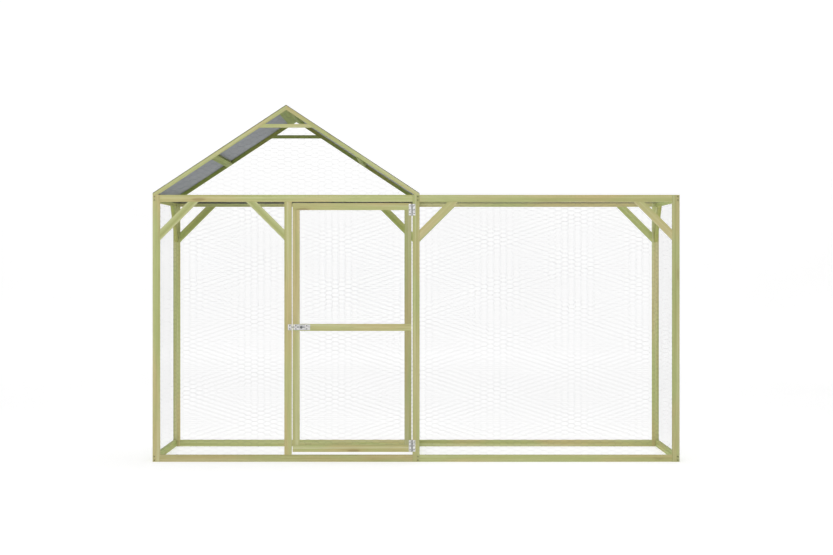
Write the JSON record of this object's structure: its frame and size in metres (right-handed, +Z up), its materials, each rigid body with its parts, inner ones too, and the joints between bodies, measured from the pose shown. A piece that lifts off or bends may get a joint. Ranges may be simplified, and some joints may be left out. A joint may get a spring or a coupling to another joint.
{
  "type": "chicken coop",
  "caption": "Walk-in poultry run of pale green treated timber and hexagonal wire netting, with a gabled coop bay, a hinged netting door with a barrel bolt, and a flat-topped run.",
  "frame": {"origin": "on the ground, under the middle of the whole bounding box", "axes": "+X to the right as seen from the door side, along the length; +Y from the door side to the back; +Z up"},
  "size_m": [3, 1.006, 2.033],
  "materials": {
    "timber": "planed pine, pressure treated, pale green",
    "netting": "galvanised wire",
    "hardware": "bright zinc plate",
    "screws": "zinc plate",
    "roof_sheet": "grey coated tarpaulin"
  },
  "bodies": {
    "frame": {"back_collar_tie": "timber", "back_coop_bottom_rail": "timber", "back_coop_braces": "timber", "back_coop_netting": "netting", "back_coop_top_rail": "timber", "back_left_post": "timber", "back_left_rafter": "timber", "back_middle_post": "timber", "back_right_post": "timber", "back_right_rafter": "timber", "back_run_bottom_rail": "timber", "back_run_braces": "timber", "back_run_netting": "netting", "back_run_top_rail": "timber", "bolt_keeper": "hardware", "coop_top_netting": "netting", "door_post": "timber", "frame_screws": "screws", "front_collar_tie": "timber", "front_coop_bottom_rail": "timber", "front_coop_braces": "timber", "front_coop_netting": "netting", "front_coop_top_rail": "timber", "front_left_post": "timber", "front_left_rafter": "timber", "front_middle_post": "timber", "front_right_post": "timber", "front_right_rafter": "timber", "front_run_bottom_rail": "timber", "front_run_braces": "timber", "front_run_netting": "netting", "front_run_top_rail": "timber", "gable_netting": "netting", "hinge_pins": "hardware", "left_bottom_side_rail": "timber", "left_ridge_purlin": "timber", "left_side_netting": "netting", "left_top_side_rail": "timber", "mid_purlins": "timber", "middle_bottom_side_rail": "timber", "middle_top_side_rail": "timber", "post_hinge_leaves": "hardware", "right_bottom_side_rail": "timber", "right_ridge_purlin": "timber", "right_side_netting": "netting", "right_top_side_rail": "timber", "roof_sheet": "roof_sheet", "run_top_netting": "netting", "side_braces": "timber"},
    "door": {"bolt_plate": "hardware", "door_bottom_rail": "timber", "door_hinge_leaves": "hardware", "door_hinge_stile": "timber", "door_latch_stile": "timber", "door_middle_rail": "timber", "door_netting": "netting", "door_screws": "screws", "door_top_rail": "timber"},
    "bolt": {"bolt_rod": "hardware"},
    "bolt_handle": {"bolt_handle": "hardware"}
  },
  "joints": [
    {"name": "door_hinge", "type": "hinge", "parent": "frame", "child": "door", "pos_m": [-0.023, -0.4805, 0], "axis": [0, 0, 1], "range_deg": [0, 170]},
    {"name": "bolt_slide", "type": "slide", "parent": "door", "child": "bolt", "axis": [1, 0, 0], "range_m": [-0.018, 0.014]},
    {"name": "bolt_turn", "type": "hinge", "parent": "bolt", "child": "bolt_handle", "pos_m": [-0.652, -0.484, 0.766], "axis": [1, 0, 0], "range_deg": [-70, 70]}
  ]
}
